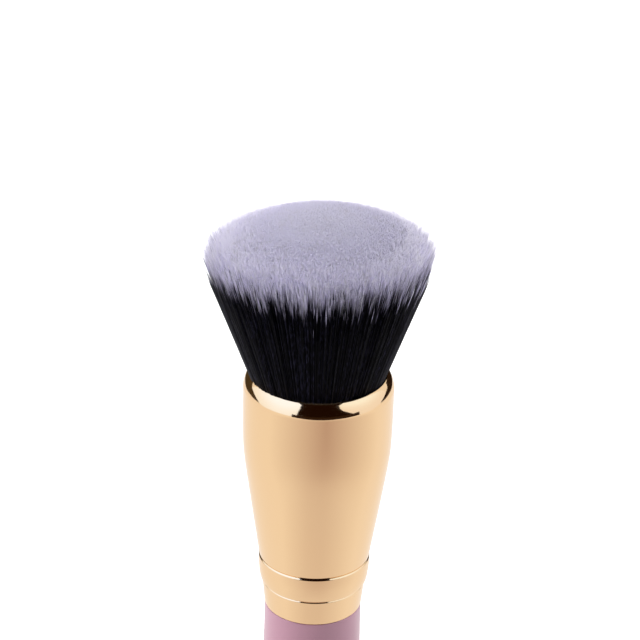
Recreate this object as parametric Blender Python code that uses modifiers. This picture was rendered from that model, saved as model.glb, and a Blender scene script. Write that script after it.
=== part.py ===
"""A round foundation brush with a flared head, standing on the flat end of its handle.

Metres, +Z up. The origin is the centre of the handle's foot, and the brush's axis is Z.
"""

import math

import bmesh
import bpy
from mathutils import Matrix, Vector

MM = 0.001

# Clearances
GAP = 0.3 * MM                     # left between pieces that touch on the real brush
MOUTH_GAP = 0.2 * MM               # between the outermost strands and the lip
MERGE_DISTANCE = 0.001 * MM        # closes the seam of a turned piece

# Ferrule, heights measured up from its lower end
FERRULE_LENGTH = 37.5 * MM
FERRULE_WALL = 0.5 * MM
COLLAR_RADIUS = 7.05 * MM          # at the lower end, over the handle
COLLAR_FLARE = 0.45 * MM           # how much the collar widens up to the lower groove
BAND_STEP = 0.15 * MM              # from the collar out to the band between the grooves
BAND_FLARE = 0.4 * MM
BARREL_STEP = 0.05 * MM            # from the band in to the barrel's foot
BARREL_FLARE = 2.65 * MM           # from the barrel's foot to its parallel upper part
SHOULDER_HEIGHT = 25.6 * MM        # where the barrel's taper meets the parallel part
SHOULDER_SOFTNESS = 2.4 * MM       # how far that bend is spread
UPPER_GROOVE_HEIGHT = 8.25 * MM
LOWER_GROOVE_HEIGHT = 4.1 * MM
GROOVE_WIDTH = 0.6 * MM
GROOVE_DEPTH = 0.2 * MM
LIP_HEIGHT = 2.0 * MM
LIP_INSET = 1.05 * MM              # how far the lip rolls in
EDGE_ROUNDING = 0.2 * MM           # on the ferrule's lower edge

# Handle, heights measured up from its foot
HANDLE_LENGTH = 100.0 * MM         # foot to the shoulder under the ferrule
HANDLE_INSET = 0.02 * MM           # how far the neck lies inside the ferrule's edge
BELLY_SWELL = 0.95 * MM            # from the neck out to the widest part
BELLY_DROP = 36.0 * MM             # shoulder to the widest part
FOOT_INSET = 0.25 * MM             # how far the foot lies inside the neck
FOOT_ROUNDING = 1.3 * MM
TENON_LENGTH = 14.0 * MM
TENON_CHAMFER = 0.8 * MM

# Handle glue, between the tenon and the ferrule
GLUE_FILM = 0.4 * MM               # its thickness at the collar
GLUE_START = 0.8 * MM              # above the ferrule's lower end
GLUE_SHORTFALL = 2.5 * MM          # how far it stops below the tenon's top

# Root glue and binding thread
ROOT_DEPTH = 4.0 * MM              # mouth to the top of the root glue
ROOT_SLICE = 1.2 * MM              # the layer of glue that is one with the bristles
THREAD_DROP = 3.5 * MM             # underside of that layer to the first turn
THREAD_DIAMETER = 1.1 * MM
THREAD_EMBED = 0.25 * MM           # how far neighbouring turns press into each other
THREAD_TURNS = 5

# Bristles, heights measured up from the ferrule's mouth
STRAND_COUNT = 480
STRAND_SIDES = 3
STRAND_FILL_SHARE = 0.7            # centre to corner, as a share of the strands' mean spacing
CROWN_HEIGHT = 23.7 * MM           # middle of the domed top
DOME_RADIUS = 28.0 * MM            # curvature of the top
RIM_RADIUS = 15.9 * MM             # widest reach of the head
RIM_DROP = 0.9 * MM                # how far the rim rounds over below the dome
RIM_TIGHTNESS = 8                  # how sharply it does so
POINT_LENGTH = 1.4 * MM            # drawn-out end of each strand
DYE_LINE_SHARE = 0.86              # where the pale tips begin, as a share of the rim's height
DYE_BLUR_SHARE = 0.07

# Facets
SHOWN_STEPS = 40                   # round the handle and the ferrule
HIDDEN_STEPS = 24                  # round what is sealed inside
BARREL_POINTS = 11
HANDLE_POINTS = 18
LIP_POINTS = 6
UNDERLIP_POINTS = 3
GROOVE_POINTS = 4
FOOT_POINTS = 5
THREAD_POINTS = 3
SHARP_ANGLE = math.radians(35)

# Radii and heights that follow
BAND_FOOT_RADIUS = COLLAR_RADIUS + COLLAR_FLARE + BAND_STEP
BAND_TOP_RADIUS = BAND_FOOT_RADIUS + BAND_FLARE
BARREL_FOOT_RADIUS = BAND_TOP_RADIUS - BARREL_STEP
BORE_AT_COLLAR = COLLAR_RADIUS - FERRULE_WALL
TENON_RADIUS = BORE_AT_COLLAR - GAP - GLUE_FILM - GAP
NECK_RADIUS = COLLAR_RADIUS - HANDLE_INSET
BELLY_RADIUS = NECK_RADIUS + BELLY_SWELL
FOOT_RADIUS = NECK_RADIUS - FOOT_INSET
LIP_FOOT = FERRULE_LENGTH - LIP_HEIGHT
FERRULE_BASE = HANDLE_LENGTH + GAP
ROOT_TOP = FERRULE_BASE + FERRULE_LENGTH - ROOT_DEPTH


def clear_scene():
    for obj in list(bpy.data.objects):
        bpy.data.objects.remove(obj, do_unlink=True)


def new_collection(name):
    collection = bpy.data.collections.new(name)
    bpy.context.scene.collection.children.link(collection)
    return collection


def linear(red, green, blue):
    """A screen colour, 0 to 255, as the linear values that a shader takes."""
    levels = [value / 255 for value in (red, green, blue)]
    bright = [v / 12.92 if v <= 0.04045 else ((v + 0.055) / 1.055) ** 2.4 for v in levels]
    return (*bright, 1.0)


def finish(name, colour, roughness, metallic=0.0, coat=0.0):
    material = bpy.data.materials.new(name)
    material.use_nodes = True
    shader = material.node_tree.nodes["Principled BSDF"]
    shader.inputs["Base Color"].default_value = colour
    shader.inputs["Roughness"].default_value = roughness
    shader.inputs["Metallic"].default_value = metallic
    shader.inputs["Coat Weight"].default_value = coat
    material.diffuse_color = colour
    return material


def dip_dyed(name, root_colour, tip_colour, roughness):
    """Filament that turns from the root colour to the tip colour at the dye line."""
    material = finish(name, root_colour, roughness)
    tree = material.node_tree
    place = tree.nodes.new("ShaderNodeTexCoord")
    split = tree.nodes.new("ShaderNodeSeparateXYZ")
    fade = tree.nodes.new("ShaderNodeMapRange")
    blend = tree.nodes.new("ShaderNodeMix")
    blend.data_type = "RGBA"
    rim_height = tip_height(RIM_RADIUS)
    fade.inputs["From Min"].default_value = ROOT_DEPTH + rim_height * (DYE_LINE_SHARE - DYE_BLUR_SHARE)
    fade.inputs["From Max"].default_value = ROOT_DEPTH + rim_height * (DYE_LINE_SHARE + DYE_BLUR_SHARE)
    blend.inputs["A"].default_value = root_colour
    blend.inputs["B"].default_value = tip_colour
    tree.links.new(place.outputs["Object"], split.inputs["Vector"])
    tree.links.new(split.outputs["Z"], fade.inputs["Value"])
    tree.links.new(fade.outputs["Result"], blend.inputs["Factor"])
    tree.links.new(blend.outputs["Result"], tree.nodes["Principled BSDF"].inputs["Base Color"])
    return material


def place_object(name, mesh, material, height, collection, root):
    mesh.materials.append(material)
    obj = bpy.data.objects.new(name, mesh)
    obj.location = (0, 0, height)
    obj.parent = root
    collection.objects.link(obj)
    return obj


def turned(name, profile, closed, steps, material, height, collection, root):
    """A piece turned from (radius, height) points that run down its outer side."""
    last = len(profile) - 1
    edges = [(i, i + 1) for i in range(last)]
    if closed:
        edges.append((last, 0))
    mesh = bpy.data.meshes.new(name)
    mesh.from_pydata([(radius, 0, z) for radius, z in profile], edges, [])
    obj = place_object(name, mesh, material, height, collection, root)
    screw = obj.modifiers.new("Turn", "SCREW")
    screw.axis = "Z"
    screw.steps = steps
    screw.render_steps = steps
    screw.use_merge_vertices = True
    screw.merge_threshold = MERGE_DISTANCE
    settle(obj)


def settle(obj):
    """Puts what the modifiers make into the object's mesh, shaded smooth but for its sharp edges."""
    graph = bpy.context.evaluated_depsgraph_get()
    mesh = bpy.data.meshes.new_from_object(obj.evaluated_get(graph))
    obj.modifiers.clear()
    obj.data = mesh
    mesh.shade_smooth()
    mesh.set_sharp_from_angle(angle=SHARP_ANGLE)


def rounded(start, end, count, level_first):
    """A quarter ellipse from start to end, leaving start level, or else leaving it upright."""
    points = []
    for i in range(count + 1):
        turn = math.pi / 2 * i / count
        across = math.sin(turn) if level_first else 1 - math.cos(turn)
        along = 1 - math.cos(turn) if level_first else math.sin(turn)
        points.append((start[0] + (end[0] - start[0]) * across, start[1] + (end[1] - start[1]) * along))
    return points


def radius_at(profile, height):
    """The radius of a profile that runs down, between the two points next to one height."""
    for (upper_radius, upper), (lower_radius, lower) in zip(profile, profile[1:]):
        if lower <= height <= upper and lower < upper:
            return lower_radius + (upper_radius - lower_radius) * (height - lower) / (upper - lower)
    return profile[0][0] if height > profile[0][1] else profile[-1][0]


def barrel_radius(height):
    """A straight taper that bends softly into a parallel part."""
    slope = BARREL_FLARE / (SHOULDER_HEIGHT - UPPER_GROOVE_HEIGHT)
    below = SHOULDER_HEIGHT - height
    return BARREL_FOOT_RADIUS + BARREL_FLARE - slope * (math.hypot(below, SHOULDER_SOFTNESS) + below) / 2


def groove(height, radius_above, radius_below):
    """A rolled groove: it dips in a sine squared between the two radii."""
    points = []
    for i in range(GROOVE_POINTS + 1):
        share = i / GROOVE_POINTS
        radius = radius_above + (radius_below - radius_above) * share
        dip = GROOVE_DEPTH * math.sin(math.pi * share) ** 2
        points.append((radius - dip, height + GROOVE_WIDTH * (0.5 - share)))
    return points


def ferrule_skin():
    """The ferrule's outer side, from the foot of the lip down to its lower end."""
    foot = UPPER_GROOVE_HEIGHT + GROOVE_WIDTH
    skin = []
    for i in range(BARREL_POINTS + 1):
        height = LIP_FOOT + (foot - LIP_FOOT) * i / BARREL_POINTS
        skin.append((barrel_radius(height), height))
    skin += groove(UPPER_GROOVE_HEIGHT, BARREL_FOOT_RADIUS, BAND_TOP_RADIUS)
    skin += groove(LOWER_GROOVE_HEIGHT, BAND_FOOT_RADIUS, COLLAR_RADIUS + COLLAR_FLARE)
    skin.append((COLLAR_RADIUS + COLLAR_FLARE / 2, LOWER_GROOVE_HEIGHT / 2))
    skin.append((COLLAR_RADIUS, EDGE_ROUNDING))
    return skin


def mouth_radius():
    return barrel_radius(LIP_FOOT) - LIP_INSET


def bore_radius(height):
    return radius_at(ferrule_skin(), height) - FERRULE_WALL


def ferrule_profile():
    """The tube's whole section: lip, outer side, lower edge, bore and the underside of the lip."""
    skin = ferrule_skin()
    lip = rounded((mouth_radius(), FERRULE_LENGTH), skin[0], LIP_POINTS, True)
    edge = [(COLLAR_RADIUS - EDGE_ROUNDING, 0), (BORE_AT_COLLAR, 0)]
    bore = [(radius - FERRULE_WALL, height) for radius, height in reversed(skin)]
    underlip = rounded(bore[-1], (mouth_radius(), FERRULE_LENGTH - FERRULE_WALL), UNDERLIP_POINTS, False)
    return lip + skin[1:] + edge + bore + underlip[1:]


def handle_radius(height):
    """The handle's side: it swells from the neck to the belly and draws in to the foot."""
    belly_height = HANDLE_LENGTH - BELLY_DROP
    if height > belly_height:
        far_radius = NECK_RADIUS
        share = (height - belly_height) / BELLY_DROP
    else:
        far_radius = FOOT_RADIUS
        share = (belly_height - height) / belly_height
    return BELLY_RADIUS + (far_radius - BELLY_RADIUS) * (1 - math.cos(math.pi * share)) / 2


def handle_profile():
    top = HANDLE_LENGTH + TENON_LENGTH
    profile = [
        (0, top),
        (TENON_RADIUS - TENON_CHAMFER, top),
        (TENON_RADIUS, top - TENON_CHAMFER),
        (TENON_RADIUS, HANDLE_LENGTH),
    ]
    for i in range(HANDLE_POINTS + 1):
        height = HANDLE_LENGTH + (FOOT_ROUNDING - HANDLE_LENGTH) * i / HANDLE_POINTS
        profile.append((handle_radius(height), height))
    side = handle_radius(FOOT_ROUNDING)
    profile += rounded((side, FOOT_ROUNDING), (side - FOOT_ROUNDING, 0), FOOT_POINTS, False)[1:]
    return profile + [(0, 0)]


def handle_glue_profile():
    """A sleeve that fills the ring between the tenon and the ferrule's bore."""
    inner = TENON_RADIUS + GAP
    top = TENON_LENGTH - GLUE_SHORTFALL
    between = [height for radius, height in ferrule_skin() if GLUE_START < height < top]
    outer = [(bore_radius(height) - GAP, height) for height in [top, *between, GLUE_START]]
    return outer + [(inner, GLUE_START), (inner, top)]


def thread_ring():
    """Inner radius of the winding, and the heights of its first and last turns."""
    first = FERRULE_LENGTH - ROOT_DEPTH - ROOT_SLICE - THREAD_DROP
    last = first - (THREAD_DIAMETER - THREAD_EMBED) * (THREAD_TURNS - 1)
    outer = bore_radius(last - THREAD_DIAMETER / 2) - GAP
    return outer - THREAD_DIAMETER, first, last


def thread_profile():
    """Turns of thread laid side by side, as one ribbed ring."""
    inner, first, last = thread_ring()
    reach = THREAD_DIAMETER / 2
    pitch = THREAD_DIAMETER - THREAD_EMBED
    meeting = math.asin(pitch / THREAD_DIAMETER)
    profile = []
    for turn in range(THREAD_TURNS):
        upper = math.pi / 2 if turn == 0 else meeting
        lower = -math.pi / 2 if turn == THREAD_TURNS - 1 else -meeting
        start = 0 if turn == 0 else 1
        for i in range(start, THREAD_POINTS + 1):
            angle = upper + (lower - upper) * i / THREAD_POINTS
            height = first - pitch * turn + reach * math.sin(angle)
            profile.append((inner + reach + reach * math.cos(angle), height))
    return profile + [(inner, last - reach), (inner, first + reach)]


def plug_profile():
    """The root glue under the bristles' slice, with a waist where the thread lies."""
    inner, first, last = thread_ring()
    top = FERRULE_LENGTH - ROOT_DEPTH - ROOT_SLICE - GAP
    foot = TENON_LENGTH
    waist_top = first + THREAD_DIAMETER / 2 + GAP
    waist_foot = last - THREAD_DIAMETER / 2 - GAP
    above = [(bore_radius(height) - GAP, height) for height in (top, waist_top)]
    waist = [(inner - GAP, waist_top), (inner - GAP, waist_foot)]
    lower = [waist_foot, (waist_foot + foot) / 2, foot]
    below = [(bore_radius(height) - GAP, height) for height in lower]
    return [(0, top), *above, *waist, *below, (0, foot)]


def tip_height(radius):
    """The head's top above the mouth, at one radius: a dome that rounds over at its rim."""
    roll = RIM_DROP * (radius / RIM_RADIUS) ** RIM_TIGHTNESS
    return CROWN_HEIGHT - radius * radius / (2 * DOME_RADIUS) - roll


def root_spread():
    """How far out the outermost strand is rooted, so that it clears the lip on its way to the rim."""
    mouth_spread = (mouth_radius() - MOUTH_GAP) / (1 + STRAND_FILL_SHARE / math.sqrt(STRAND_COUNT))
    splay = (RIM_RADIUS - mouth_spread) / tip_height(RIM_RADIUS)
    return mouth_spread - splay * (ROOT_DEPTH + ROOT_SLICE / 2)


def strand_mesh(name):
    """Strands in a sunflower layout, each a long cone whose far cap is drawn out to a point."""
    spread = root_spread()
    fill = STRAND_FILL_SHARE / math.sqrt(STRAND_COUNT)
    golden = math.pi * (3 - math.sqrt(5))
    bm = bmesh.new()
    for i in range(STRAND_COUNT):
        out = math.sqrt((i + 0.5) / STRAND_COUNT)
        way = Vector((math.cos(i * golden), math.sin(i * golden), 0)) * out
        root = way * spread + Vector((0, 0, -ROOT_SLICE / 2))
        tip = way * RIM_RADIUS + Vector((0, 0, ROOT_DEPTH + tip_height(out * RIM_RADIUS)))
        axis = (tip - root).normalized()
        shaft = (tip - root).length - POINT_LENGTH
        lie = axis.to_track_quat("Z", "Y").to_matrix().to_4x4()
        made = bmesh.ops.create_cone(
            bm,
            cap_ends=True,
            segments=STRAND_SIDES,
            radius1=fill * spread,
            radius2=fill * RIM_RADIUS,
            depth=shaft,
            matrix=Matrix.Translation(root + axis * shaft / 2) @ lie,
        )
        far = sorted(made["verts"], key=lambda vertex: vertex.co.dot(axis))[STRAND_SIDES:]
        cap = next(face for face in far[0].link_faces if all(vertex in far for vertex in face.verts))
        bmesh.ops.poke(bm, faces=[cap], offset=POINT_LENGTH)
    mesh = bpy.data.meshes.new(name)
    bm.to_mesh(mesh)
    bm.free()
    return mesh


def slice_mesh(name):
    """The disc of root glue that the strands stand in, its upper face at zero."""
    radius = bore_radius(FERRULE_LENGTH - ROOT_DEPTH - ROOT_SLICE) - GAP
    bm = bmesh.new()
    bmesh.ops.create_cone(
        bm,
        cap_ends=True,
        segments=HIDDEN_STEPS,
        radius1=radius,
        radius2=radius,
        depth=ROOT_SLICE,
        matrix=Matrix.Translation((0, 0, -ROOT_SLICE / 2)),
    )
    mesh = bpy.data.meshes.new(name)
    bm.to_mesh(mesh)
    bm.free()
    return mesh


def make_bristles(material, collection, cutters, root):
    """A slice of the root glue with every strand grown out of it."""
    bristles = place_object("bristles", slice_mesh("bristles"), material, ROOT_TOP, collection, root)
    strands = place_object("strands", strand_mesh("strands"), material, ROOT_TOP, cutters, root)
    strands.hide_render = True
    strands.display_type = "WIRE"
    join = bristles.modifiers.new("Join strands", "BOOLEAN")
    join.operation = "UNION"
    join.solver = "EXACT"
    join.object = strands


def main():
    clear_scene()
    parts = new_collection("foundation_brush")
    cutters = new_collection("cutters")
    root = bpy.data.objects.new("foundation_brush", None)
    parts.objects.link(root)

    lacquer = finish("mauve_lacquer", linear(182, 138, 156), 0.35, coat=0.4)
    gold = finish("polished_gold", linear(238, 205, 162), 0.1, metallic=1.0)
    resin = finish("clear_resin", linear(214, 190, 140), 0.4)
    thread = finish("binding_thread", linear(226, 222, 210), 0.8)
    filament = dip_dyed("dyed_filament", linear(10, 9, 17), linear(186, 182, 206), 0.55)

    turned("handle", handle_profile(), False, SHOWN_STEPS, lacquer, 0, parts, root)
    turned("ferrule", ferrule_profile(), True, SHOWN_STEPS, gold, FERRULE_BASE, parts, root)
    turned("handle_glue", handle_glue_profile(), True, HIDDEN_STEPS, resin, FERRULE_BASE, parts, root)
    turned("root_glue_plug", plug_profile(), False, HIDDEN_STEPS, resin, FERRULE_BASE, parts, root)
    turned("binding_thread", thread_profile(), True, HIDDEN_STEPS, thread, FERRULE_BASE, parts, root)
    make_bristles(filament, parts, cutters, root)


main()
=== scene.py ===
# Foundation brush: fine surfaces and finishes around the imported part. Lengths are in metres.
import math
import bpy
import numpy as np
from mathutils import Matrix, Vector


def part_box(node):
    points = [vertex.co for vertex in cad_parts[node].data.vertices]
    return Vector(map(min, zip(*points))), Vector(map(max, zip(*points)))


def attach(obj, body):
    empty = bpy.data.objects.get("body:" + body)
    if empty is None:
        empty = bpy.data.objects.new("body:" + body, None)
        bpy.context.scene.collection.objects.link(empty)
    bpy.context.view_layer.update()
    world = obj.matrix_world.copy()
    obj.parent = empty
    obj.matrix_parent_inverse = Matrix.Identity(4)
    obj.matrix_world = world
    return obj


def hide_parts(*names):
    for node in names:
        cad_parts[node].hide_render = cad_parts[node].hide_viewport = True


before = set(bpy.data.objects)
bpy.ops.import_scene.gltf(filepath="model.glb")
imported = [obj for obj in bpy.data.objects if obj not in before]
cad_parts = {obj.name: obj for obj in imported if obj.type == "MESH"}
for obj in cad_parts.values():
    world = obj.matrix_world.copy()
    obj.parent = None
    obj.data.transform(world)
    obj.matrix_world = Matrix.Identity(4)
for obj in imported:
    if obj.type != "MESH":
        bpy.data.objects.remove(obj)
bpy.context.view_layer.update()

ferruleLow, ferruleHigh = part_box("ferrule")
handleLow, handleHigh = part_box("handle")
bristleLow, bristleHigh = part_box("bristles")
mouth = ferruleHigh.z  # height of the ferrule's open end
mm = 0.001

latticeSize = 97  # cells after which the noise repeats
latticeShift = 1000.0  # keeps its places above zero


def smoothNoise(points, cell, seed):
    # Random values on a square lattice, blended with smooth steps between its corners, from -1 to 1.
    rng = np.random.default_rng(seed)
    lattice = rng.uniform(-1, 1, (latticeSize, latticeSize))
    place = points / cell + latticeShift
    corner = np.floor(place).astype(int)
    part = place - corner
    part = part * part * (3 - 2 * part)
    x0, y0 = corner[:, 0] % latticeSize, corner[:, 1] % latticeSize
    x1, y1 = (x0 + 1) % latticeSize, (y0 + 1) % latticeSize
    low = lattice[x0, y0] * (1 - part[:, 0]) + lattice[x1, y0] * part[:, 0]
    high = lattice[x0, y1] * (1 - part[:, 0]) + lattice[x1, y1] * part[:, 0]
    return low * (1 - part[:, 1]) + high * part[:, 1]


def noiseShift(points, cell, seed):
    # Two such noises, as a sideways shift.
    return np.stack([smoothNoise(points, cell, seed), smoothNoise(points, cell, seed + 1)], 1)


def addObject(name, mesh, material, slotName, *nodes):
    # A finished piece at the origin, in place of the solids named in nodes.
    mesh.materials.append(material)
    piece = bpy.data.objects.new(name, mesh)
    bpy.context.scene.collection.objects.link(piece)
    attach(piece, "root")
    if nodes:
        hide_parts(*nodes)
    return piece


sharpAngle = 28.0  # degrees between faces, past which an edge stays sharp


def turnedMesh(name, profile, steps, closed):
    # Each profile point (radius, height) goes round a full circle: x = r cos a, y = r sin a, z = height.
    # A profile that starts and ends on the axis gets one pole point at each end.
    rings = profile if closed else profile[1:-1]
    angle = 2 * np.pi * np.arange(steps) / steps
    x = rings[:, :1] * np.cos(angle)
    y = rings[:, :1] * np.sin(angle)
    z = np.repeat(rings[:, 1:], steps, axis=1)
    points = np.stack([x, y, z], axis=2).reshape(-1, 3)
    rows, count = len(rings), len(rings) * steps
    row = np.arange(rows if closed else rows - 1)[:, None]
    col = np.arange(steps)[None, :]
    here, nextRow, nextCol = row * steps, (row + 1) % rows * steps, (col + 1) % steps
    quads = np.stack([here + col, nextRow + col, nextRow + nextCol, here + nextCol], 2)
    faces = quads.reshape(-1, 4).tolist()
    if not closed:
        points = np.vstack([points, [[0, 0, profile[0, 1]], [0, 0, profile[-1, 1]]]])
        last = (rows - 1) * steps
        ring, ahead = np.arange(steps), (np.arange(steps) + 1) % steps
        faces += np.stack([np.full(steps, count), ring, ahead], 1).tolist()
        faces += np.stack([np.full(steps, count + 1), last + ahead, last + ring], 1).tolist()
    mesh = bpy.data.meshes.new(name)
    mesh.from_pydata(points.tolist(), [], faces)
    mesh.shade_smooth()
    mesh.set_sharp_from_angle(angle=math.radians(sharpAngle))
    return mesh


def sweepBend(start, end, startTilt, endTilt, count):
    # A parabola from start to end whose surface faces up by startTilt at one end and endTilt at the other.
    a, b = math.radians(startTilt), math.radians(endTilt)
    leave = np.array([-math.sin(a), math.cos(a)])
    reach = np.array([-math.sin(b), math.cos(b)])
    run = np.linalg.solve(np.column_stack([leave, reach]), np.array(end) - np.array(start))
    corner = np.array(start) + leave * run[0]
    t = np.linspace(0, 1, count)[:, None]
    return (1 - t) ** 2 * np.array(start) + 2 * t * (1 - t) * corner + t * t * np.array(end)


ferrule = {
    "steps": 288,
    # Rows of points along each part of its outline.
    "barrelRows": 70,
    "grooveRows": 28,
    "bandRows": 16,
    "collarRows": 12,
    "edgeRows": 7,
    "boreRows": 40,
    "lipRows": 22,
    "underlipRows": 8,
    "wall": 0.5 * mm,
    "lipHeight": 2.0 * mm,
    "lipInset": 1.05 * mm,
    "lipFootTilt": 13.0,  # degrees that the lip's surface faces up at its foot
    "lipTopTilt": 62.0,
    "barrelFlare": 2.65 * mm,
    "shoulderHeight": 25.6 * mm,
    "shoulderSoftness": 2.4 * mm,
    "upperGroove": 8.25 * mm,
    "lowerGroove": 4.1 * mm,
    "grooveWidth": 0.50 * mm,
    "grooveDepth": 0.15 * mm,
    "grooveReach": 0.55,  # half the finely divided stretch, in groove widths
    "bandRoundness": 3,  # how early the band reaches its full radius
    "collarRadius": 7.05 * mm,
    "collarFlare": 0.45 * mm,
    "bandStep": 0.15 * mm,
    "bandFlare": 0.40 * mm,
    "barrelStep": 0.05 * mm,
    "edgeRounding": 0.22 * mm,
    "colour": (0.855, 0.610, 0.362),
    "patches": (1.0, 0.975, 0.95),  # times the colour, where it is cloudy
    "roughness": (0.075, 0.13),  # clean, and where it is scuffed
    "markScale": 700.0,
    "markStretch": 1.0,
    "bump": (0.00002, 0.08),  # distance in metres, and strength
    "metallic": 1.0,
    "coat": 0.0,
    "coatRoughness": 0.03,
}


def grooveDip(height, middle, spec):
    # A sine squared dip, one groove width wide.
    share = np.clip((height - middle) / spec["grooveWidth"] + 0.5, 0, 1)
    return spec["grooveDepth"] * np.sin(np.pi * share) ** 2


def ferruleSkin(height, spec):
    # Radius over height above the ferrule's lower end, less the two grooves: the collar is a straight
    # flare, the band a cubic that rounds over towards its top, and the barrel a flare that bends softly (a
    # hyperbola) into its parallel part.
    bandFoot = spec["collarRadius"] + spec["collarFlare"] + spec["bandStep"]
    bandTop = bandFoot + spec["bandFlare"]
    barrelFoot = bandTop - spec["barrelStep"]
    collar = spec["collarRadius"] + spec["collarFlare"] * np.clip(height / spec["lowerGroove"], 0, 1)
    bandShare = np.clip((height - spec["lowerGroove"]) / (spec["upperGroove"] - spec["lowerGroove"]), 0, 1)
    band = bandTop - (bandTop - bandFoot) * (1 - bandShare) ** spec["bandRoundness"]
    slope = spec["barrelFlare"] / (spec["shoulderHeight"] - spec["upperGroove"])
    below = spec["shoulderHeight"] - height
    bend = (np.hypot(below, spec["shoulderSoftness"]) + below) / 2
    barrel = barrelFoot + spec["barrelFlare"] - slope * bend
    radius = np.where(height < spec["upperGroove"], band, barrel)
    radius = np.where(height < spec["lowerGroove"], collar, radius)
    for groove in ("upperGroove", "lowerGroove"):
        radius = radius - grooveDip(height, spec[groove], spec)
    return radius


def makeFerrule(material, spec):
    # Its outline, turned about the axis: down the lip, the outer skin and the rounded lower edge, then up
    # the bore, a wall's thickness inside the skin, and under the lip.
    length = ferruleHigh.z - ferruleLow.z
    lipFoot = length - spec["lipHeight"]
    near = spec["grooveWidth"] * spec["grooveReach"]
    upper, lower = spec["upperGroove"], spec["lowerGroove"]
    heights = np.concatenate([
        np.linspace(lipFoot, upper + near, spec["barrelRows"], endpoint=False),
        np.linspace(upper + near, upper - near, spec["grooveRows"], endpoint=False),
        np.linspace(upper - near, lower + near, spec["bandRows"], endpoint=False),
        np.linspace(lower + near, lower - near, spec["grooveRows"], endpoint=False),
        np.linspace(lower - near, spec["edgeRounding"], spec["collarRows"]),
    ])
    outer = np.column_stack([ferruleSkin(heights, spec), heights])
    top = outer[0, 0]
    tilts = spec["lipFootTilt"], spec["lipTopTilt"]
    lip = sweepBend((top, lipFoot), (top - spec["lipInset"], length), *tilts, spec["lipRows"])[::-1]
    turn = np.linspace(0, np.pi / 2, spec["edgeRows"])[1:]
    rounding = spec["edgeRounding"]
    edge = np.column_stack([outer[-1, 0] - rounding * (1 - np.cos(turn)), rounding * (1 - np.sin(turn))])
    boreHeights = np.linspace(0, lipFoot, spec["boreRows"])
    bore = np.column_stack([ferruleSkin(boreHeights, spec) - spec["wall"], boreHeights])
    under = sweepBend(bore[-1], (lip[0, 0], length - spec["wall"]), *tilts, spec["underlipRows"])[1:]
    profile = np.vstack([lip[:-1], outer, edge, bore, under])
    profile[:, 1] += ferruleLow.z
    mesh = turnedMesh("goldFerrule", profile, spec["steps"], True)
    return addObject("goldFerrule", mesh, material, "gold", "ferrule")


handle = {
    "steps": 224,
    "easeRows": 6,
    "sideRows": 110,
    "footRows": 14,
    "inset": 0.02 * mm,  # how far the neck lies inside the collar
    "footInset": 0.25 * mm,  # how far the foot lies inside the neck
    "seam": 0.04 * mm,  # left under the collar
    "neckEase": 0.10 * mm,  # rounding of the shoulder's edge
    "bellyDrop": 36.0 * mm,
    "footRounding": 1.3 * mm,
    "tenonRadius": 5.55 * mm,
    "tenonChamfer": 0.8 * mm,
    "colour": (0.490, 0.254, 0.332),
    "patches": (0.95, 0.93, 0.95),
    "roughness": (0.34, 0.44),
    "markScale": 420.0,
    "markStretch": 0.25,  # drawn out along the handle
    "bump": (0.00003, 0.12),
    "metallic": 0.0,
    "coat": 0.5,
    "coatRoughness": 0.18,
}


def handleSide(height, spec, shoulder):
    # Half cosine waves from the neck out to the belly and from the belly in to the foot.
    neck = ferrule["collarRadius"] - spec["inset"]
    belly = handleHigh.x
    foot = neck - spec["footInset"]
    bellyHeight = shoulder - spec["bellyDrop"]
    above = np.clip((height - bellyHeight) / spec["bellyDrop"], 0, 1)
    below = np.clip((bellyHeight - height) / bellyHeight, 0, 1)
    rise = belly + (neck - belly) * (1 - np.cos(np.pi * above)) / 2
    fall = belly + (foot - belly) * (1 - np.cos(np.pi * below)) / 2
    return np.where(height > bellyHeight, rise, fall)


def makeHandle(material, spec):
    # Its outline, turned about the axis: the chamfered tenon, the shoulder with a quarter circle at its
    # edge, the side, and the foot with another.
    shoulder = ferruleLow.z - spec["seam"]
    rounding = spec["footRounding"]
    top = handleHigh.z
    tenon = spec["tenonRadius"]
    neck = handleSide(np.array([shoulder]), spec, shoulder)[0]
    turn = np.linspace(0, np.pi / 2, spec["easeRows"])
    ease = spec["neckEase"]
    easing = np.column_stack([neck - ease * (1 - np.sin(turn)), shoulder - ease * (1 - np.cos(turn))])
    heights = np.linspace(shoulder - ease, rounding, spec["sideRows"])[1:]
    side = np.column_stack([handleSide(heights, spec, shoulder), heights])
    turn = np.linspace(0, np.pi / 2, spec["footRows"])[1:]
    footEdge = np.column_stack([side[-1, 0] - rounding * (1 - np.cos(turn)), rounding * (1 - np.sin(turn))])
    chamfer = spec["tenonChamfer"]
    start = [[0, top], [tenon - chamfer, top], [tenon, top - chamfer], [tenon, shoulder]]
    profile = np.vstack([start, easing, side, footEdge, [[0, 0]]])
    mesh = turnedMesh("lacqueredHandle", profile, spec["steps"], False)
    return addObject("lacqueredHandle", mesh, material, "lacquer", "handle")


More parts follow.
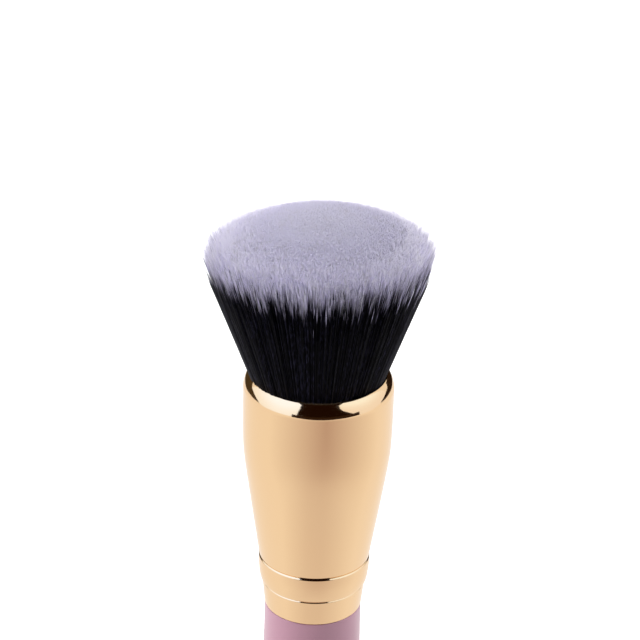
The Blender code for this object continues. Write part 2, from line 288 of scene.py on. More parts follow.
head = {
    "sideStrands": 15000,
    "crownStrands": 40000,
    "strayStrands": 2600,
    "fringeStrands": 19500,
    "sideParts": 3,  # pieces that they are split into
    "crownParts": 5,
    # Where they stand: shares of the rim's radius, the fringe's squared.
    "sideBand": (0.86, 1.0),
    "crownBand": (0.0, 0.92),
    "strayBand": (0.99, 1.045),
    "fringeBand": (0.58, 1.04),
    # Their rings: places along a strand, and radii as shares of its own.
    "sideRings": ((0.0, 0.3, 0.58, 0.78, 0.91, 0.965, 1.0), (1, 1, 1, 1, 0.95, 0.6, 0)),
    "crownRings": ((0.62, 0.82, 0.95, 0.99, 1.0), (1, 1, 1, 0.8, 0)),
    "strayRings": ((0.0, 0.35, 0.65, 0.90, 1.0), (0.9, 0.9, 0.9, 0.8, 0)),
    "fringeRings": ((0.80, 0.93, 1.0), (1, 1, 0)),
    "strandRadius": 0.060 * mm,
    "fringeRadius": 0.015 * mm,  # fine tapered ends that stand a little above the crown
    "radiusSpread": (0.75, 1.25),  # the thinnest and the thickest, times that radius
    "strayDrop": (0.5, 7.0),  # millimetres that stray hairs end below the crown
    "fringeRise": 1.45 * mm,
    "fringeLeast": -0.4,  # of that rise, so that some end under the crown
    "fringePower": 4,  # the higher, the nearer to the rim they rise
    "rimRadius": 15.62 * mm,
    "domeRadius": 30.5 * mm,
    "rimDrop": 0.9 * mm,
    "rimPower": 8,  # the higher, the nearer to the rim it rounds over
    "crownTilt": 0.031,  # how much higher the crown is on the right
    "crownPitch": -0.021,  # and at the back: below zero, so higher at the front
    "crownRise": -0.06 * mm,  # of the crown's middle above the solid's top
    "aside": -0.27 * mm,  # how far the whole head stands to the left
    "lean": -0.009,  # and how far it leans there, over its height
    "mouthSlack": 0.35 * mm,  # between the outermost strands and the lip
    "rootDepth": 3.0 * mm,
    "bow": -0.04 * mm,  # of a strand at mid height, outwards
    "middleScatter": 0.11 * mm,  # how uneven the strands' lengths are, in the middle
    "rimScatter": 0.55 * mm,
    "scatterPower": 3,
    "edgeDrop": 0.85 * mm,  # how much shorter the outermost strands are
    "edgeStart": 0.93,  # from this share of the rim's radius
    "edgeWidth": 0.07,
    "edgeMost": 1.2,
    "turnJitter": 0.01,  # radians
    "rimJitter": 0.010,  # of the radius, only outside rimStart
    "rimStart": 0.9,
    "gather": 0.07 * mm,  # how far tufts and locks draw together at their tips
    "tipDrift": 0.06 * mm,  # each strand's own
    "driftPower": 1.6,
    "dyeHeight": 17.75 * mm,  # above the mouth
    "dyeTilt": 0.4,  # of the crown's tilt
    "dyeSag": 1.50 * mm,  # how much lower it is at the left and right
    "tuftWander": 0.7 * mm,  # shared by the strands of a tuft
    "tuftSize": 1.5 * mm,
    "lockWander": 1.6 * mm,  # shared by the strands of a lock, finer than a tuft
    "lockSize": 0.40 * mm,
    "strandWander": 1.10 * mm,  # each strand's own
    "wanderStart": 0.80,  # the line wanders fully only near the rim
    "wanderWidth": 0.14,
    "wanderLeast": 0.2,
    "palestShare": 0.015,  # strands whose pale part starts far lower
    "palestDrop": 5.0 * mm,
    "palestLeast": 0.3,  # of that drop
    "paleTip": 0.25 * mm,  # every strand is pale at least this far from its tip
    "paleReach": 1.4 * mm,  # unless it ends further than this under the crown
    "fineTone": 0.45,  # how much the shades differ from spot to spot
    "fineToneSize": 0.30 * mm,
    "broadTone": 0.25,
    "broadToneSize": 1.6 * mm,
    "ownTone": 0.18,  # and from strand to strand
    "coreDepth": 0.45 * mm,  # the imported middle's top lies this far under the crown
    "coreRimDepth": 1.00 * mm,  # and this far near the rim
    "coreShare": 0.885,  # its radius, as a share of the rim's
    "coreNeck": 0.91,  # and at the mouth, as a share of the outermost roots'
    "coreFoot": -2.4 * mm,
    "coreTopRows": 40,
    "coreSideRows": 30,
    "coreSteps": 96,
    "rootColour": (0.0005, 0.0004, 0.0020),
    "paintedSheenColour": (0.0230, 0.0220, 0.0440),  # painted sheen: glints painted into the dark strands' colour
    "sheenMost": 1.6,  # their mix, before it is cut off at 1
    "sheenFrom": (0.47, 0.66),  # of the streaks' noise
    "sheenLeast": 0.35,  # their strength on the darkest strands
    "streakScale": 3600.0,
    "streakStretch": 0.13,
    "paintedEdgeLight": (0.0840, 0.0825, 0.0940),  # painted light on the dark strands where the flank turns away
    "edgeLightFacing": (0.42, 0.95),  # of the painted edge light, from the first signs of it to full
    "fadeColour": (0.665, 0.625, 0.850),  # just above the dye line
    "tipColour": (0.645, 0.630, 0.740),
    "paintedRimLight": (0.905, 0.900, 0.915),  # painted rim light: the tips' colour near the crown's rim
    "endColour": (0.870, 0.865, 0.895),  # the fine ends above the crown
    "shadeColour": (0.570, 0.550, 0.640),  # the darkest of the pale strands
    "shadeBelow": 0.25,  # tone under which it sets in
    "rimFrom": 0.55,  # share of the rim's radius from which painted rim light makes the tips paler
    "fadeSpan": (1.0, 6.0),  # millimetres above the dye line
    "dyeSpan": (-0.5, 0.7),
    "roughness": (0.38, 0.5),
    "specular": 0.05,
    "corePaintedShade": 0.96,  # times the tips' colour, as painted shade deeper in the bundle
    "coreDyeSpan": (0.5 * mm, 0.3 * mm),  # below and above the dye line's height
    "coreStreakScale": 2500.0,
    "coreRoughness": (0.5, 0.7),
}


def crownHeight(x, y, spec):
    # The head's top above the mouth: a parabola over the radius, less a high power of it that rounds the
    # rim, and tilted a little.
    r = np.hypot(x, y)
    dome = (bristleHigh.z - mouth) + spec["crownRise"] - r * r / (2 * spec["domeRadius"])
    rounded = spec["rimDrop"] * (r / spec["rimRadius"]) ** spec["rimPower"]
    return dome - rounded + spec["crownTilt"] * x + spec["crownPitch"] * y


def mouthRadius(spec):
    # Radius of the bundle at the ferrule's mouth.
    return ferruleHigh.x - ferrule["lipInset"] - spec["mouthSlack"]


def strandCentres(out, angle, shorter, shares, spec):
    # Each strand's middle line at the given shares of its length: a straight splay from the root to where
    # its tip ends, shorter below the crown, with a sine bow outwards and the whole head's lean.
    across = np.stack([np.cos(angle), np.sin(angle)], 1)
    tipFlat = across * (out * spec["rimRadius"])[:, None]
    fullHeight = crownHeight(tipFlat[:, 0], tipFlat[:, 1], spec)
    tipHeight = fullHeight - shorter
    grow = out * (spec["rimRadius"] - mouthRadius(spec)) / fullHeight
    t = np.array(shares)[None, :]
    height = -spec["rootDepth"] + (tipHeight + spec["rootDepth"])[:, None] * t
    reach = (out * mouthRadius(spec))[:, None] + grow[:, None] * height
    reach += spec["bow"] * out[:, None] * np.sin(np.pi * np.clip(height / fullHeight[:, None], 0, 1))
    flat = across[:, None] * reach[:, :, None]
    flat[:, :, 0] += spec["aside"] + spec["lean"] * height
    return np.concatenate([flat, mouth + height[:, :, None]], 2)


def strandPiece(name, centres, radii, angle, dye, tone, spin):
    # Three-sided strands: ring k of a strand is its middle line's point plus r (cos u, sin u) across it,
    # its last ring closes on the tip, and its first is capped.
    count, rings = centres.shape[0], centres.shape[1] - 1
    along = centres[:, -1] - centres[:, 0]
    along /= np.linalg.norm(along, axis=1)[:, None]
    side = np.stack([-np.sin(angle), np.cos(angle), np.zeros(count)], 1)
    side -= along * (side * along).sum(1)[:, None]
    side /= np.linalg.norm(side, axis=1)[:, None]
    across = np.cross(along, side)
    turn = spin[:, None] + 2 * np.pi * np.arange(3) / 3
    star = np.cos(turn)[:, :, None] * side[:, None] + np.sin(turn)[:, :, None] * across[:, None]
    ringPoints = centres[:, :rings, None] + radii[:, :rings, None, None] * star[:, None]
    points = np.concatenate([ringPoints.reshape(count, rings * 3, 3), centres[:, -1:]], axis=1)
    low = (np.arange(rings - 1) * 3)[:, None] + np.arange(3)
    lowNext = (np.arange(rings - 1) * 3)[:, None] + (np.arange(3) + 1) % 3
    sides = np.concatenate([
        np.stack([low, lowNext, lowNext + 3], 2).reshape(-1, 3),
        np.stack([low, lowNext + 3, low + 3], 2).reshape(-1, 3),
    ])
    last = (rings - 1) * 3
    tip = np.array([[last, last + 1, last + 3], [last + 1, last + 2, last + 3], [last + 2, last, last + 3]])
    one = np.concatenate([[[0, 2, 1]], sides, tip])
    perStrand = rings * 3 + 1
    faces = (np.arange(count) * perStrand)[:, None, None] + one
    corners = faces.reshape(-1).astype(np.int32)
    mesh = bpy.data.meshes.new(name)
    mesh.vertices.add(count * perStrand)
    mesh.vertices.foreach_set("co", points.astype(np.float32).reshape(-1))
    mesh.loops.add(len(corners))
    mesh.loops.foreach_set("vertex_index", corners)
    mesh.polygons.add(len(corners) // 3)
    mesh.polygons.foreach_set("loop_start", np.arange(0, len(corners), 3, dtype=np.int32))
    mesh.update(calc_edges=True)
    mesh.shade_smooth()
    dyePoint = np.concatenate([np.repeat(dye[:, :rings], 3, axis=1), dye[:, -1:]], axis=1)
    tonePoint = np.repeat(tone[:, None], perStrand, axis=1)
    for label, values in (("dye", dyePoint), ("tone", tonePoint)):
        values = values.astype(np.float32).reshape(-1)
        mesh.attributes.new(label, "FLOAT", "POINT").data.foreach_set("value", values)
    # On the map a strand is a narrow upright band: its tone says how far across, and its dye how far up.
    bands, margin, tall, middle, border = 48, 0.1, 40, 0.6, 0.005
    band = np.concatenate([np.tile([0.0, 0.5, 1.0], rings), [0.5]])
    u = (np.floor(tone * (bands - 0.001))[:, None] + margin + (1 - 2 * margin) * band) / bands
    v = np.clip(dyePoint / tall + middle, border, 1 - border)
    spots = np.stack([u, v], 2).reshape(-1, 2)[corners]
    mesh.uv_layers.new(name="OFBake").data.foreach_set("uv", spots.astype(np.float32).reshape(-1))
    return mesh


def strandSet(name, out, angle, shorter, rings, radius, seed, material, spec):
    # Strands whose tips lie at the shares out of the rim's radius. Tips drift sideways with their tuft,
    # their lock and by themselves. Each strand's dye line is the bundle's, which follows some of the
    # crown's tilt and sags by a parabola to both sides, plus the wander of its tuft, its lock and its own.
    rng = np.random.default_rng(seed)
    count = len(out)
    shares, thickness = rings
    flat = np.stack([np.cos(angle), np.sin(angle)], 1) * (out * spec["rimRadius"])[:, None]
    centres = strandCentres(out, angle, shorter, shares, spec)
    drift = noiseShift(flat, spec["tuftSize"], 41) + noiseShift(flat, spec["lockSize"], 43)
    shift = drift * spec["gather"] + rng.normal(0, spec["tipDrift"], (count, 2))
    centres[:, :, :2] += shift[:, None] * (np.array(shares) ** spec["driftPower"])[None, :, None]
    own = radius * rng.uniform(*spec["radiusSpread"], count)
    radii = own[:, None] * np.array(thickness)[None, :]
    wander = spec["tuftWander"] * smoothNoise(flat, spec["tuftSize"], 71)
    wander += (spec["lockWander"] * smoothNoise(flat, spec["lockSize"], 72)
               + spec["strandWander"] * rng.normal(0, 1, count))
    loose = np.clip((out - spec["wanderStart"]) / spec["wanderWidth"], spec["wanderLeast"], 1)
    line = spec["dyeHeight"] + spec["dyeTilt"] * spec["crownTilt"] * flat[:, 0] + wander * loose
    line -= spec["dyeSag"] * (flat[:, 0] / spec["rimRadius"]) ** 2
    drop = spec["palestDrop"] * rng.uniform(spec["palestLeast"], 1, count)
    line -= drop * (rng.uniform(0, 1, count) < spec["palestShare"])
    tipHeight = centres[:, -1, 2] - mouth
    line = np.where(shorter < spec["paleReach"], np.minimum(line, tipHeight - spec["paleTip"]), line)
    dye = (centres[:, :, 2] - mouth - line[:, None]) / mm
    tone = 0.5 + spec["fineTone"] * smoothNoise(flat, spec["fineToneSize"], 83)
    tone = tone + spec["broadTone"] * smoothNoise(flat, spec["broadToneSize"], 84)
    tone = np.clip(tone + spec["ownTone"] * rng.normal(0, 1, count), 0, 1)
    mesh = strandPiece(name, centres, radii, angle, dye, tone, rng.uniform(0, 2 * np.pi, count))
    return addObject(name, mesh, material, "filament")


def strandPieces(name, kind, seed, material, spec):
    # A sunflower layout between two radii: out = sqrt of an even count, turned by the golden angle each
    # time. The strands' ends lie below the crown by the length of a random normal pair times the scatter at
    # their radius, so few reach the very top and the edge is soft.
    golden = math.pi * (3 - math.sqrt(5))
    rng = np.random.default_rng(seed)
    count = spec[f"{kind}Strands"]
    inner, outer = spec[f"{kind}Band"]
    even = (np.arange(count) + 0.5) / count
    out = np.sqrt(inner * inner + (outer * outer - inner * inner) * even)
    angle = (np.arange(count) * golden + rng.normal(0, spec["turnJitter"], count)) % (2 * np.pi)
    out = out + spec["rimJitter"] * rng.normal(0, 1, count) * (out > spec["rimStart"])
    uneven = np.clip(out, 0, 1) ** spec["scatterPower"]
    scatter = spec["middleScatter"] + (spec["rimScatter"] - spec["middleScatter"]) * uneven
    shorter = np.hypot(rng.normal(0, 1, count), rng.normal(0, 1, count)) * scatter
    edge = np.clip((out - spec["edgeStart"]) / spec["edgeWidth"], 0, spec["edgeMost"])
    shorter += spec["edgeDrop"] * edge ** 2
    for number, part in enumerate(np.array_split(np.argsort(angle), spec[f"{kind}Parts"])):
        strandSet(f"{name}{number + 1}", out[part], angle[part], shorter[part], spec[f"{kind}Rings"],
                  spec["strandRadius"], seed + number, material, spec)


def makeHead(material, coreMaterial, endMaterial, spec):
    strandPieces("sideFilaments", "side", 11, material, spec)
    strandPieces("crownFilaments", "crown", 21, material, spec)

    # Single hairs that stand a little off the flank.
    rng = np.random.default_rng(31)
    count = spec["strayStrands"]
    out, angle = rng.uniform(*spec["strayBand"], count), rng.uniform(0, 2 * np.pi, count)
    shorter = rng.uniform(*spec["strayDrop"], count) * mm
    strandSet("strayFilaments", out, angle, shorter, spec["strayRings"], spec["strandRadius"],
              31, material, spec)

    # Finer ends that stand out of the crown, most of all at its rim, so its edge fades.
    count = spec["fringeStrands"]
    out, angle = np.sqrt(rng.uniform(*spec["fringeBand"], count)), rng.uniform(0, 2 * np.pi, count)
    rise = spec["fringeRise"] * rng.uniform(spec["fringeLeast"], 1, count)
    shorter = -rise * np.clip(out, 0, 1) ** spec["fringePower"]
    strandSet("fringeFilaments", out, angle, shorter, spec["fringeRings"], spec["fringeRadius"],
              32, endMaterial, spec)

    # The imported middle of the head, a turned solid that follows the strands a little inside them. Its
    # points slide sideways and tilt with the head, the more the higher they are.
    share = np.linspace(0, 1, spec["coreTopRows"])
    topRadius = spec["coreShare"] * spec["rimRadius"]
    level = crownHeight(topRadius * share, 0, {**spec, "crownTilt": 0, "crownPitch": 0}) - spec["coreDepth"]
    level -= (spec["coreRimDepth"] - spec["coreDepth"]) * share ** 3
    topSide = np.column_stack([topRadius * share, level])
    foot = spec["coreFoot"]
    sideHeight = np.linspace(topSide[-1, 1], foot, spec["coreSideRows"])[1:]
    climb = sideHeight / topSide[-1, 1]
    neck = spec["coreNeck"] * mouthRadius(spec)
    sideOut = neck + (topRadius - neck) * climb
    profile = np.vstack([topSide, np.column_stack([sideOut, sideHeight]), [[0, foot]]])
    mesh = turnedMesh("packedFilaments", profile, spec["coreSteps"], False)
    points = np.empty(len(mesh.vertices) * 3, np.float32)
    mesh.vertices.foreach_get("co", points)
    points = points.reshape(-1, 3)
    climb = np.clip(points[:, 2] / topSide[0, 1], 0, 1)
    points[:, 2] += (spec["crownTilt"] * points[:, 0] + spec["crownPitch"] * points[:, 1]) * climb + mouth
    points[:, 0] += (spec["aside"] + spec["lean"] * topSide[0, 1]) * climb
    mesh.vertices.foreach_set("co", points.reshape(-1))
    mesh.update()
    addObject("packedFilaments", mesh, coreMaterial, "filament", "bristles")


def newMaterial(name):
    # Its tree and its Principled node come with it.
    material = bpy.data.materials.new(name)
    material.use_nodes = True
    return material, material.node_tree, material.node_tree.nodes["Principled BSDF"]


def link(tree, source, target):
    tree.links.new(source, target)


def maths(tree, operation, first, second=0.0):
    # Each of first and second is a number or a socket.
    node = tree.nodes.new("ShaderNodeMath")
    node.operation = operation
    for socket, value in zip(node.inputs, (first, second)):
        if isinstance(value, float):
            socket.default_value = value
        else:
            link(tree, value, socket)
    return node.outputs[0]


def vectorMaths(tree, operation, source, second=(0.0, 0.0, 0.0)):
    node = tree.nodes.new("ShaderNodeVectorMath")
    node.operation = operation
    node.inputs[1].default_value = second
    link(tree, source, node.inputs[0])
    return node


def noise(tree, source, scale, kind="ShaderNodeTexNoise"):
    node = tree.nodes.new(kind)
    node.inputs["Scale"].default_value = scale
    link(tree, source, node.inputs["Vector"])
    return node


def spread(tree, source, low, high, fromLow=0.0, fromHigh=1.0, way="LINEAR"):
    # The value carried from its range, fromLow to fromHigh, to low to high, and cut off at both ends.
    reach = tree.nodes.new("ShaderNodeMapRange")
    reach.interpolation_type = way
    reach.inputs["From Min"].default_value = fromLow
    reach.inputs["From Max"].default_value = fromHigh
    reach.inputs["To Min"].default_value = low
    reach.inputs["To Max"].default_value = high
    link(tree, source, reach.inputs["Value"])
    return reach.outputs["Result"]


def mixColours(tree, factor, first, second):
    # First where the factor is 0, second where it is 1. Each is a colour or a socket.
    mix = tree.nodes.new("ShaderNodeMix")
    mix.data_type = "RGBA"
    for socket, value in ((mix.inputs["A"], first), (mix.inputs["B"], second)):
        if isinstance(value, tuple):
            socket.default_value = (*value, 1.0)
        else:
            link(tree, value, socket)
    link(tree, factor, mix.inputs["Factor"])
    return mix.outputs["Result"]


def attribute(tree, name):
    node = tree.nodes.new("ShaderNodeAttribute")
    node.attribute_name = name
    return node.outputs["Fac"]


def objectPlace(tree):
    return tree.nodes.new("ShaderNodeTexCoord").outputs["Object"]


def bumped(tree, height, distance, strength):
    bump = tree.nodes.new("ShaderNodeBump")
    bump.inputs["Distance"].default_value = distance
    bump.inputs["Strength"].default_value = strength
    link(tree, height, bump.inputs["Height"])
    return bump.outputs["Normal"]


marking = {
    "scuffDetail": 3.0,
    "scuffFrom": 0.56,  # of the noise: the higher, the rarer the scuffs
    "scuffFull": 0.74,
    "cloudScale": 95.0,
    "cloudDetail": 4.0,
}


def scuffGroup(spec):
    # Fine short scuffs and a faint cloudiness over Object coordinates, as two masks from 0 to 1.
    group = bpy.data.node_groups.new("handlingMarks", "ShaderNodeTree")
    for name, kind in (("Vector", "Vector"), ("Scale", "Float"), ("Stretch", "Float")):
        group.interface.new_socket(name, in_out="INPUT", socket_type=f"NodeSocket{kind}")
    for name in ("Scuffs", "Cloud"):
        group.interface.new_socket(name, in_out="OUTPUT", socket_type="NodeSocketFloat")
    enter, leave = group.nodes.new("NodeGroupInput"), group.nodes.new("NodeGroupOutput")
    combine = group.nodes.new("ShaderNodeCombineXYZ")
    combine.inputs[0].default_value = 1.0
    combine.inputs[1].default_value = 1.0
    link(group, enter.outputs["Stretch"], combine.inputs[2])
    stretch = vectorMaths(group, "MULTIPLY", enter.outputs["Vector"])
    link(group, combine.outputs[0], stretch.inputs[1])
    fine = noise(group, stretch.outputs["Vector"], 1.0)
    fine.inputs["Detail"].default_value = spec["scuffDetail"]
    link(group, enter.outputs["Scale"], fine.inputs["Scale"])
    scuffs = spread(group, fine.outputs["Fac"], 0.0, 1.0, spec["scuffFrom"], spec["scuffFull"])
    link(group, scuffs, leave.inputs["Scuffs"])
    cloud = noise(group, enter.outputs["Vector"], spec["cloudScale"])
    cloud.inputs["Detail"].default_value = spec["cloudDetail"]
    link(group, cloud.outputs["Fac"], leave.inputs["Cloud"])
    return group


def markedFinish(name, group, spec):
    # Metal or lacquer, whose colour changes where it is cloudy, and its roughness where it is scuffed.
    material, tree, shader = newMaterial(name)
    marks = tree.nodes.new("ShaderNodeGroup")
    marks.node_tree = group
    marks.inputs["Scale"].default_value = spec["markScale"]
    marks.inputs["Stretch"].default_value = spec["markStretch"]
    link(tree, objectPlace(tree), marks.inputs["Vector"])
    scuffs, cloud = marks.outputs["Scuffs"], marks.outputs["Cloud"]
    other = tuple(c * s for c, s in zip(spec["colour"], spec["patches"]))
    link(tree, mixColours(tree, cloud, spec["colour"], other), shader.inputs["Base Color"])
    link(tree, spread(tree, scuffs, *spec["roughness"]), shader.inputs["Roughness"])
    link(tree, bumped(tree, cloud, *spec["bump"]), shader.inputs["Normal"])
    shader.inputs["Metallic"].default_value = spec["metallic"]
    shader.inputs["Coat Weight"].default_value = spec["coat"]
    shader.inputs["Coat Roughness"].default_value = spec["coatRoughness"]
    return material


def filamentFinish(name, spec):
    # The dye attribute is millimetres above each strand's own dye line, and tone is each strand's own
    # shade. Below the line the colour is near black with streaks of painted sheen, and painted light makes
    # it lighter where the bundle's flank turns away from the eye; above it runs from the fading dye to the
    # tips, which painted rim light makes paler near the rim.
    material, tree, shader = newMaterial(name)
    above, shade = attribute(tree, "dye"), attribute(tree, "tone")
    place = objectPlace(tree)
    upright = tree.nodes.new("ShaderNodeMapping")
    upright.inputs["Scale"].default_value = (1.0, 1.0, spec["streakStretch"])
    link(tree, place, upright.inputs["Vector"])
    streak = noise(tree, upright.outputs["Vector"], spec["streakScale"])
    # Painted glints: streaks of sheen painted into the dark colour, by the strands' tone and a stretched
    # noise.
    paintedGlints = maths(tree, "MULTIPLY", spread(tree, shade, 0.0, 1.0, spec["sheenLeast"], 1.0),
                  spread(tree, streak.outputs["Fac"], 0.0, spec["sheenMost"], *spec["sheenFrom"]))
    dark = mixColours(tree, paintedGlints, spec["rootColour"], spec["paintedSheenColour"])
    # Painted edge light: the dark strands are made lighter where the flank turns away from the eye.
    level = vectorMaths(tree, "MULTIPLY", place, (1.0, 1.0, 0.0))
    outward = vectorMaths(tree, "NORMALIZE", level.outputs["Vector"])
    facing = tree.nodes.new("ShaderNodeLayerWeight")
    link(tree, outward.outputs["Vector"], facing.inputs["Normal"])
    turned = spread(tree, facing.outputs["Facing"], 0, 1, *spec["edgeLightFacing"])
    dark = mixColours(tree, turned, dark, spec["paintedEdgeLight"])
    # Painted rim light: the tips turn paler towards the crown's rim.
    across = vectorMaths(tree, "LENGTH", level.outputs["Vector"])
    rim = spread(tree, across.outputs["Value"], 0, 1, spec["rimFrom"] * spec["rimRadius"], spec["rimRadius"])
    tips = mixColours(tree, rim, spec["tipColour"], spec["paintedRimLight"])
    high = mixColours(tree, spread(tree, above, 0, 1, *spec["fadeSpan"]), spec["fadeColour"], tips)
    deep = mixColours(tree, spread(tree, shade, 0, 1, spec["shadeBelow"], 0.0), high, spec["shadeColour"])
    body = mixColours(tree, spread(tree, above, 0, 1, *spec["dyeSpan"]), dark, deep)
    link(tree, body, shader.inputs["Base Color"])
    link(tree, spread(tree, shade, *spec["roughness"]), shader.inputs["Roughness"])
    shader.inputs["Specular IOR Level"].default_value = spec["specular"]
    return material


def packedFinish(spec):
    # Under the strands: their root and tip colours, parted at the dye line's height, the tips' a little
    # darker as painted shade.
    material, tree, shader = newMaterial("packedFilament")
    place = objectPlace(tree)
    split = tree.nodes.new("ShaderNodeSeparateXYZ")
    link(tree, place, split.inputs["Vector"])
    line = mouth + spec["dyeHeight"]
    below, above = spec["coreDyeSpan"]
    # Painted shade: the core's pale part is a little darker than the tips.
    deep = tuple(c * spec["corePaintedShade"] for c in spec["tipColour"])
    pale = spread(tree, split.outputs["Z"], 0, 1, line - below, line + above)
    link(tree, mixColours(tree, pale, spec["rootColour"], deep), shader.inputs["Base Color"])
    streak = noise(tree, place, spec["coreStreakScale"])
    link(tree, spread(tree, streak.outputs["Fac"], *spec["coreRoughness"]), shader.inputs["Roughness"])
    return material


sealed = {
    # Colour, roughness, scale and pattern.
    "resin": ((0.67, 0.51, 0.26), 0.4, 300.0, "ShaderNodeTexNoise"),
    "thread": ((0.76, 0.73, 0.64), 0.8, 2200.0, "ShaderNodeTexWave"),
    "deeper": 0.82,  # times the colour, where the pattern is full
    "smoother": 0.85,  # times the roughness, where it is empty
    "bump": (0.0001, 0.3),  # distance in metres, and strength
}


def sealedFinish(name, kind, spec):
    # Finishes of what is sealed inside: a mottled or a ribbed colour with a fine bump.
    material, tree, shader = newMaterial(name)
    colour, rough, scale, pattern = spec[kind]
    mottle = noise(tree, objectPlace(tree), scale, pattern).outputs["Fac"]
    deep = tuple(c * spec["deeper"] for c in colour)
    link(tree, mixColours(tree, mottle, colour, deep), shader.inputs["Base Color"])
    link(tree, spread(tree, mottle, rough * spec["smoother"], rough), shader.inputs["Roughness"])
    link(tree, bumped(tree, mottle, *spec["bump"]), shader.inputs["Normal"])
    return material


def dressNode(name, material):
    # A solid that keeps its shape gets its finish.
    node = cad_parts[name]
    node.data.materials.clear()
    node.data.materials.append(material)


studio = {
    # Each soft panel's two upright edges: turn from the front and rise, seen from the ferrule's mouth.
    "panelDistance": 0.95,
    "leftInner": ((-36, -7.5), (-30, 2), (-27.5, 22), (-31, 48), (-54, 66), (-86, 74)),
    "leftOuter": ((-118, -7.5), (-118, 2), (-118, 22), (-118, 48), (-124, 66), (-132, 74)),
    "rightInner": ((62, -7.5), (46, 5), (37, 14), (34, 26), (38, 46), (66, 64), (96, 71)),
    "rightOuter": ((118, -7.5), (118, 5), (118, 14), (118, 26), (118, 46), (122, 64), (132, 72)),
    "leftGlow": (-60, 38),  # middle of the left panel's brighter, cooler spot
    "leftGlowReach": 1.05,
    "glowCore": 0.15,  # share of the reach that is at full glow
    "panelColumns": 5,
    "leftHot": (1.22, 1.56, 2.30),
    "leftCloth": (1.12, 1.26, 1.48),
    "rightGlow": (76, 46),
    "rightGlowReach": 0.86,
    "rightHot": (1.16, 1.38, 1.64),
    "rightCloth": (1.06, 1.09, 1.18),
    # Lamps that light the matt surfaces only: turn, rise and power in watts.
    "lampDistance": 1.0,
    "lampSize": 0.5,
    "lamps": {"leftLamp": (-70, 20, 9.3), "rightLamp": (84, 45, 7.4), "backLamp": (175, 45, 4.0)},
    "darkTurn": 100.0,  # the room is dark up to here from the front
    "darkRise": 66.0,  # and above here
    "darkSoft": 4.0,  # degrees that these edges are spread to each side
    "topRise": 80.0,  # from here up the room has its overhead colour
    "frontDark": (0.012, 0.004, 0.001),
    "topDark": (0.055, 0.049, 0.040),
    "flagDistance": 0.33,  # two low dark flags that edge the metal
    # Turn and rise of their corners.
    "flagLower": ((93.0, -7.5), (118.0, -11.5), (145.0, -16.5), (165.0, -20.0)),
    "flagUpper": ((165.0, 20.0), (128.0, 20.0), (118.0, 2.0), (105.0, -4.0)),
    "rightFlagTurn": 8.0,  # how much further back the right one stands
    "leftFlagColour": (0.085, 0.060, 0.027),
    "rightFlagColour": (0.022, 0.011, 0.005),
    "sillDistance": 0.45,  # the low black card in front
    "sillReach": (-0.345, 0.92),
    "sillFoot": 0.001,
    "sillTop": 0.150,
    "floorSize": 6.0,
    "floorLift": 0.42,  # glow that the camera sees, so that the floor is white
    "dimPlace": (0.058, -0.255, 0.0),  # the floor's least lit spot, in front of the brush
    "dimReach": 0.36,
    "dimColour": (0.59, 0.48, 0.465),
    "fullColour": (1.04, 1.02, 1.01),
    "footGain": 0.13,  # how much nearer to full it is close to the brush
    "sideGain": 0.13,  # and nearer still to its left and right
    "sideNear": 0.03,
    "sideFar": 0.11,
    "footNear": 0.13,
    "footFar": 0.24,
    "plainFloor": (0.80, 0.79, 0.80),  # its light on matt surfaces
    "floorPaint": (0.86, 0.86, 0.86),
    "floorRoughness": 0.9,
}


def directionTo(turn, rise):
    # A unit vector at turn degrees from the front, to the right if positive, and rise degrees above level.
    a, e = math.radians(turn), math.radians(rise)
    return Vector((math.sin(a) * math.cos(e), -math.cos(a) * math.cos(e), math.sin(e)))


def spotAt(turn, rise, distance):
    # The place that far from the middle of the ferrule's mouth, in the direction of turn and rise.
    return Vector((0, 0, mouth)) + directionTo(turn, rise) * distance


def addPanel(name, side, spec):
    # A curved glowing sheet between its two edges, whose light fades from its hot spot to its plain cloth.
    material, tree, shader = newMaterial(name)
    tree.nodes.remove(shader)
    light = tree.nodes.new("ShaderNodeEmission")
    spot = spotAt(*spec[f"{side}Glow"], spec["panelDistance"])
    away = vectorMaths(tree, "DISTANCE", objectPlace(tree), spot)
    reach = spec[f"{side}GlowReach"]
    share = spread(tree, away.outputs["Value"], 0.0, 1.0, spec["glowCore"] * reach, reach, "SMOOTHSTEP")
    link(tree, mixColours(tree, share, spec[f"{side}Hot"], spec[f"{side}Cloth"]), light.inputs["Color"])
    link(tree, light.outputs["Emission"], tree.nodes["Material Output"].inputs["Surface"])
    inner, outer = np.array(spec[f"{side}Inner"], float), np.array(spec[f"{side}Outer"], float)
    columns = [inner + (outer - inner) * share for share in np.linspace(0, 1, spec["panelColumns"])]
    corners = [spotAt(turn, rise, spec["panelDistance"]) for column in columns for turn, rise in column]
    rows = len(inner)
    faces = [(c * rows + r, (c + 1) * rows + r, (c + 1) * rows + r + 1, c * rows + r + 1)
             for c in range(len(columns) - 1) for r in range(rows - 1)]
    addSheet(name, corners, faces, material)


def addStage(name, data):
    # Part of the studio, not of the brush.
    thing = bpy.data.objects.new(name, data)
    bpy.context.scene.collection.objects.link(thing)
    return thing


def addSheet(name, corners, faces, material):
    # A sheet of the studio that only reflections see.
    mesh = bpy.data.meshes.new(name)
    mesh.from_pydata(corners, [], faces)
    mesh.materials.append(material)
    sheet = addStage(name, mesh)
    sheet.visible_camera = False
    sheet.visible_shadow = False
    sheet.visible_diffuse = False
    sheet.visible_transmission = False


def addCard(name, corners, material):
    # A sheet of one flat face.
    addSheet(name, corners, [tuple(range(len(corners)))], material)


def addFlag(name, side, more, material, spec):
    # Its corners are directions from the lip. They lie on an upright plane flagDistance from the axis, so a
    # corner stands at that distance / cos(turn from the plane's middle).
    outline = spec["flagLower"] + spec["flagUpper"]
    middle = (outline[0][0] + outline[3][0]) / 2
    corners = []
    for turn, rise in outline:
        away = spec["flagDistance"] / math.cos(math.radians(turn - middle))
        spot = directionTo(side * (turn + more), 0.0) * away
        corners.append((spot.x, spot.y, mouth + away * math.tan(math.radians(rise))))
    addCard(name, corners, material)


